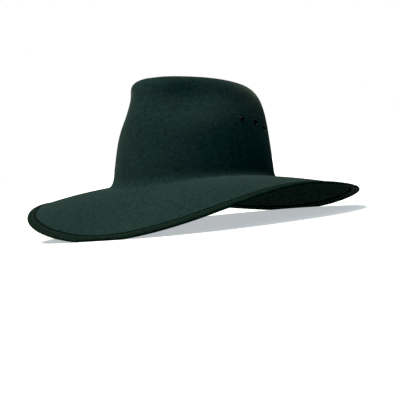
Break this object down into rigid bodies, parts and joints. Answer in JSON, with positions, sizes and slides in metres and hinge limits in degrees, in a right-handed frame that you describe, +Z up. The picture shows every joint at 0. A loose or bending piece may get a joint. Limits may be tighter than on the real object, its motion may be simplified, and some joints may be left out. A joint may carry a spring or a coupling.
{
  "type": "wide-brim hat",
  "caption": "Wide-brim felt hat with a front-pinched, teardrop-creased crown, a down-turned ribbon-bound brim and vent eyelets on both sides.",
  "frame": {"origin": "on the surface the hat rests on, under the middle of its length and width", "axes": "+Z up, -Y towards the front of the hat, +X towards the wearer's left"},
  "size_m": [0.361, 0.37, 0.17],
  "materials": {
    "felt": "matt dark blue-green fur felt",
    "ribbon": "ribbed dark green ribbon",
    "eyelet": "black enamelled brass"
  },
  "bodies": {
    "root": {"felt_body": "felt", "brim_binding": "ribbon", "vent_eyelet_left_1": "eyelet", "vent_eyelet_left_2": "eyelet", "vent_eyelet_left_3": "eyelet", "vent_eyelet_right_1": "eyelet", "vent_eyelet_right_2": "eyelet", "vent_eyelet_right_3": "eyelet"}
  },
  "joints": []
}
